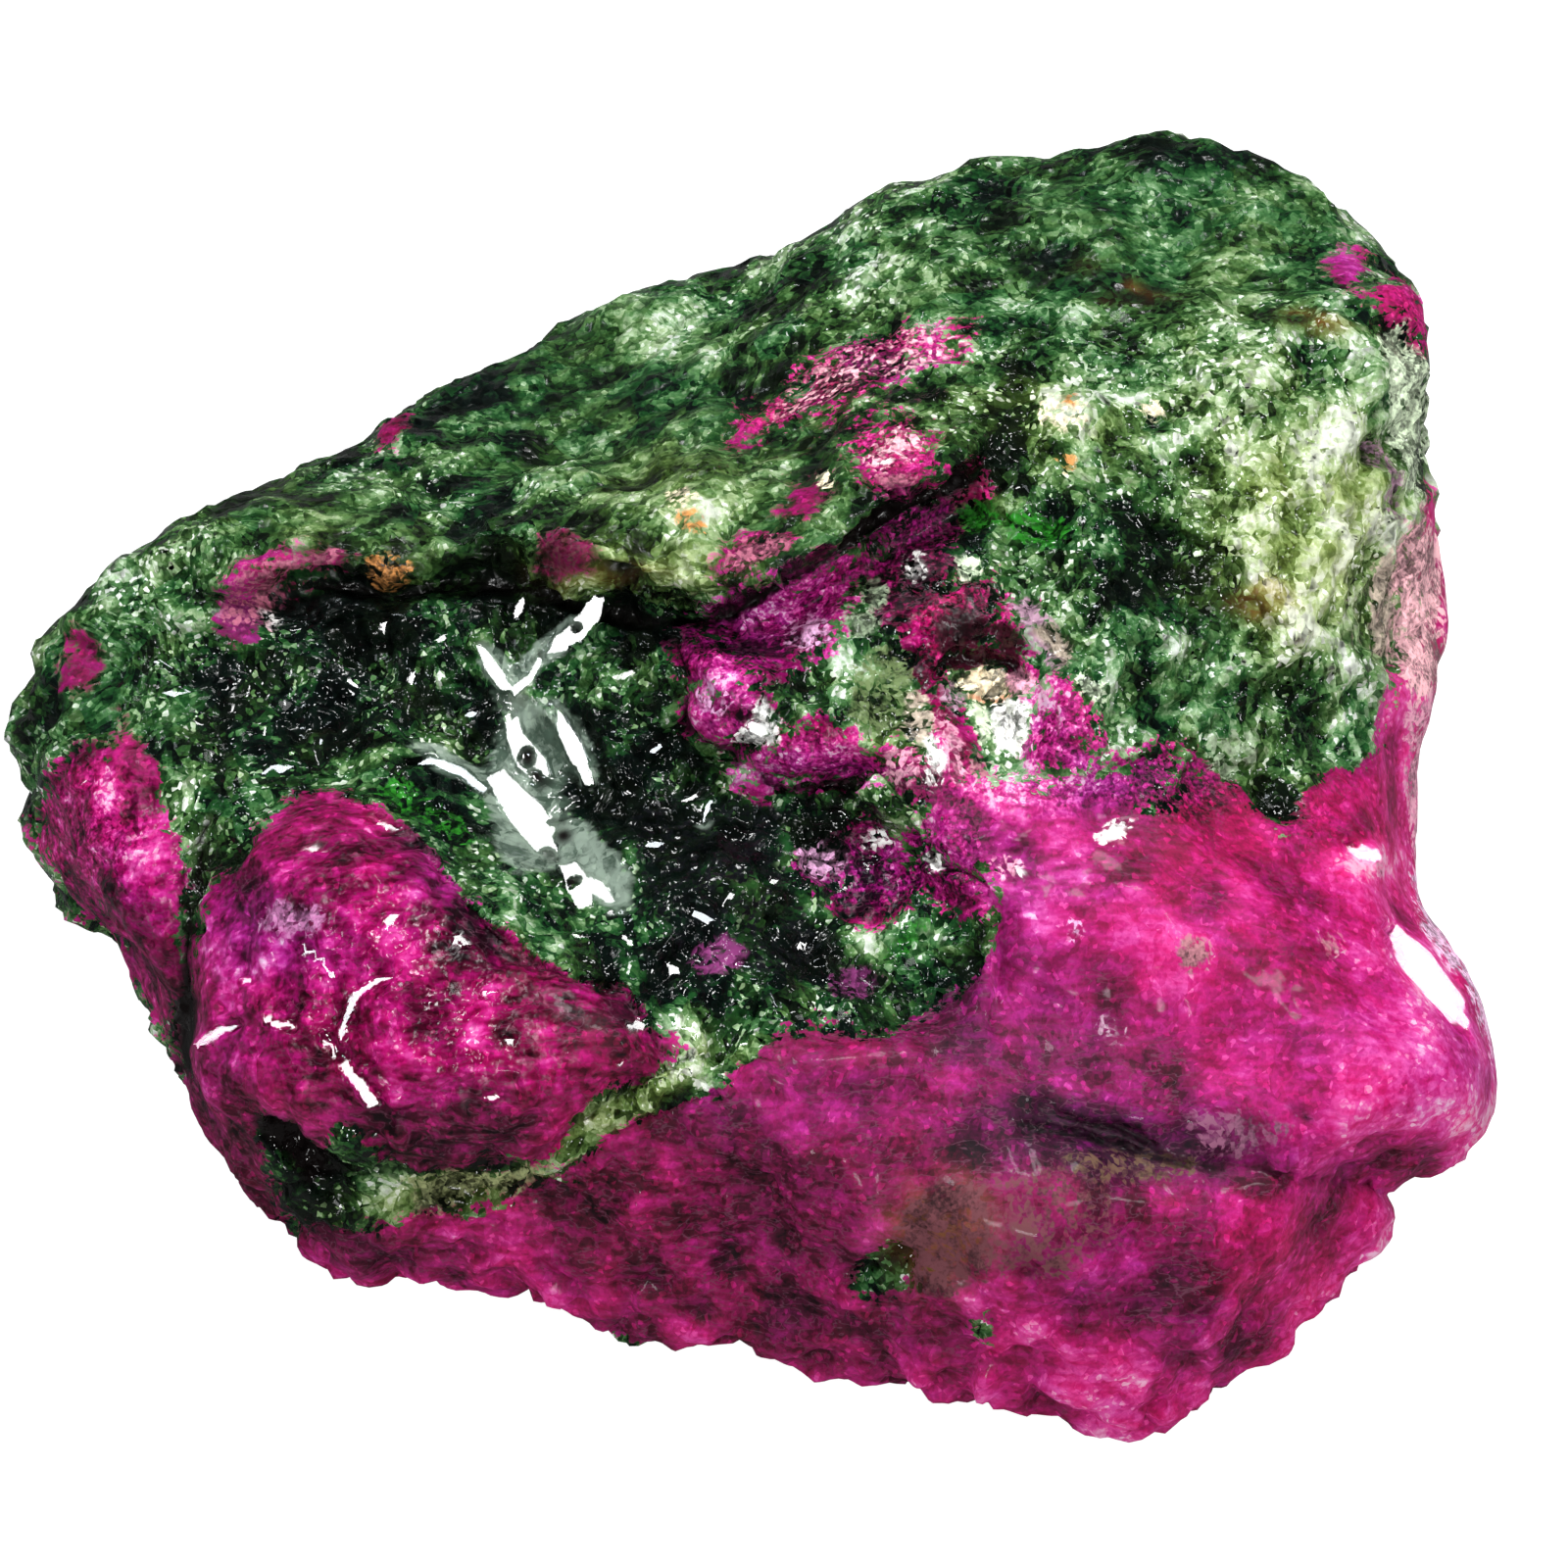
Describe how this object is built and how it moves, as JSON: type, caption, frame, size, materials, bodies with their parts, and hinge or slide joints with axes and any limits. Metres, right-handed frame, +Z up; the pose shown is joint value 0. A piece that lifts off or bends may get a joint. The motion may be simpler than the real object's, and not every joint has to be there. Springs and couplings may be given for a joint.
{
  "type": "rough stone specimen",
  "caption": "Rough hand specimen of ruby in zoisite: a broken, wedge-shaped lump of green rock grown through with magenta ruby, lying on a flat break.",
  "frame": {"origin": "on the ground under the stone, in the middle of its width and depth", "axes": "+Z up; +X to the right along the stone's longest side, seen from the front; the pictured side faces -Y and up"},
  "size_m": [0.0604, 0.0556, 0.0299],
  "materials": {
    "stone": "broken natural surface, wet and glossy: magenta to crimson ruby and dark to pale green zoisite"
  },
  "bodies": {
    "root": {"stone": "stone"}
  },
  "joints": []
}
